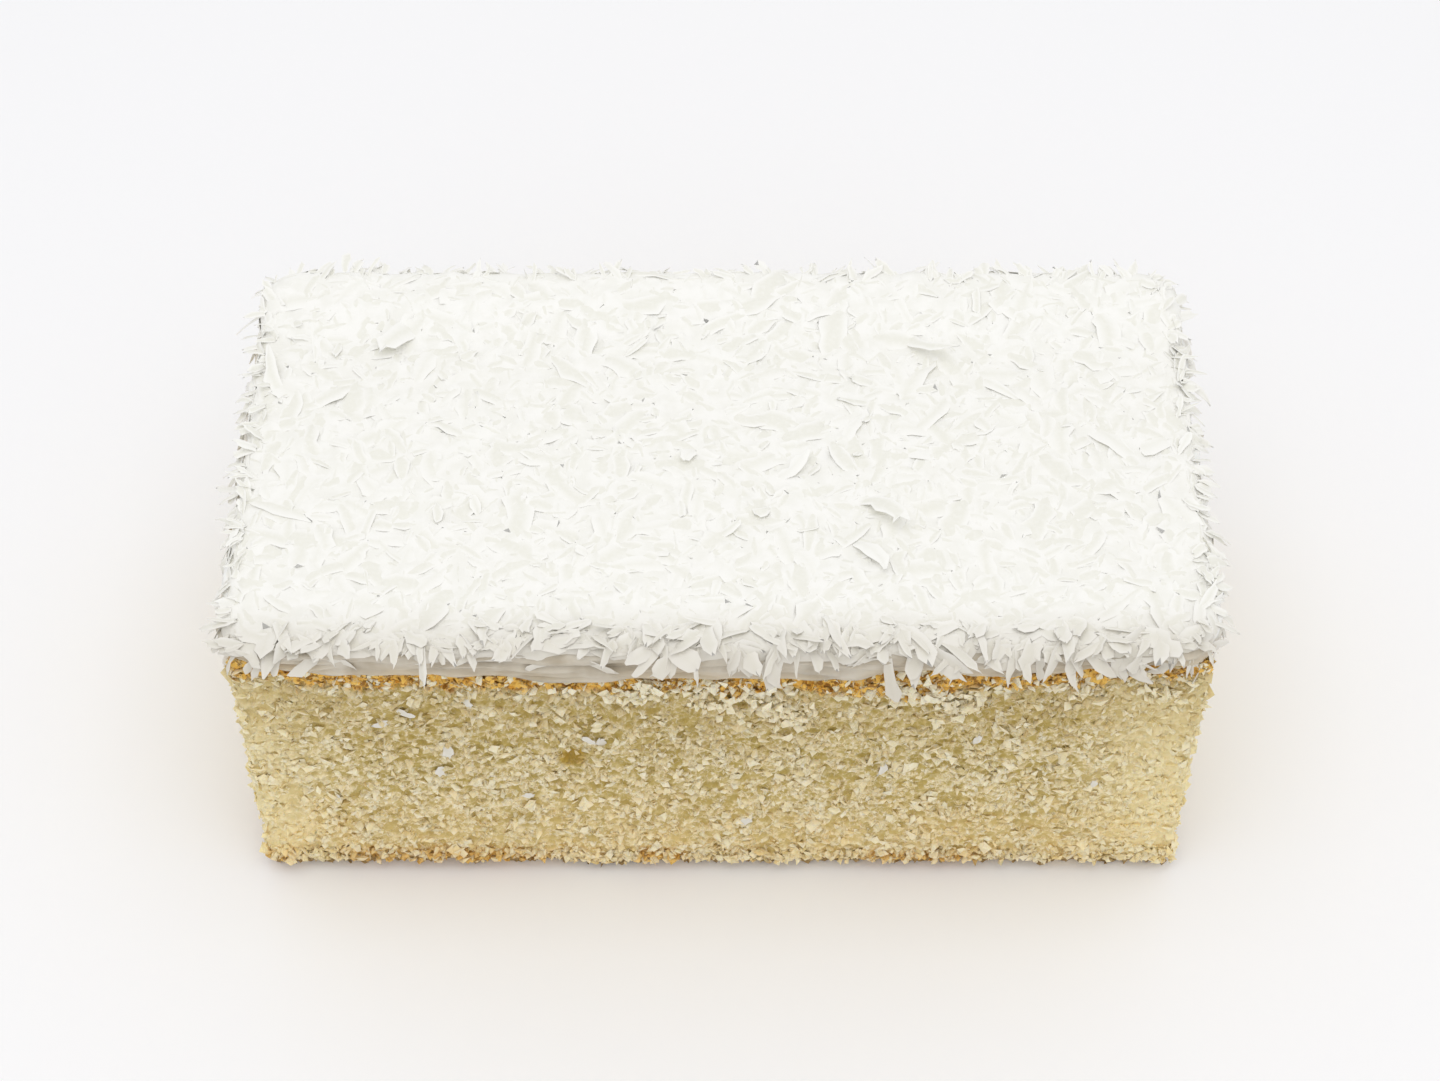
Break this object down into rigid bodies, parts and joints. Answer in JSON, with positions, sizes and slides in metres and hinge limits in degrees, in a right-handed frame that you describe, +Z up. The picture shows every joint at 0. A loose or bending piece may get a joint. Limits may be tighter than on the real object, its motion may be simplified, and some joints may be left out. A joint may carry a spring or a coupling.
{
  "type": "coconut cake slice",
  "caption": "Rectangular bar of white sponge cake with a layer of white icing on top, covered all over with shredded coconut that hangs over the edge.",
  "frame": {"origin": "on the surface that the cake stands on, under the middle of its bounding box", "axes": "+X along the long side, +Z up, and the long cut side that the picture shows looks along -Y"},
  "size_m": [0.1326, 0.0698, 0.054],
  "materials": {
    "crumb": "torn, open sponge crumb, matt, pale yellow, browned along the top and bottom",
    "coconut_icing": "white icing, smooth and slightly glossy where bare, under soft white translucent coconut shreds"
  },
  "bodies": {
    "root": {"sponge": "crumb", "coconut_icing": "coconut_icing"}
  },
  "joints": []
}
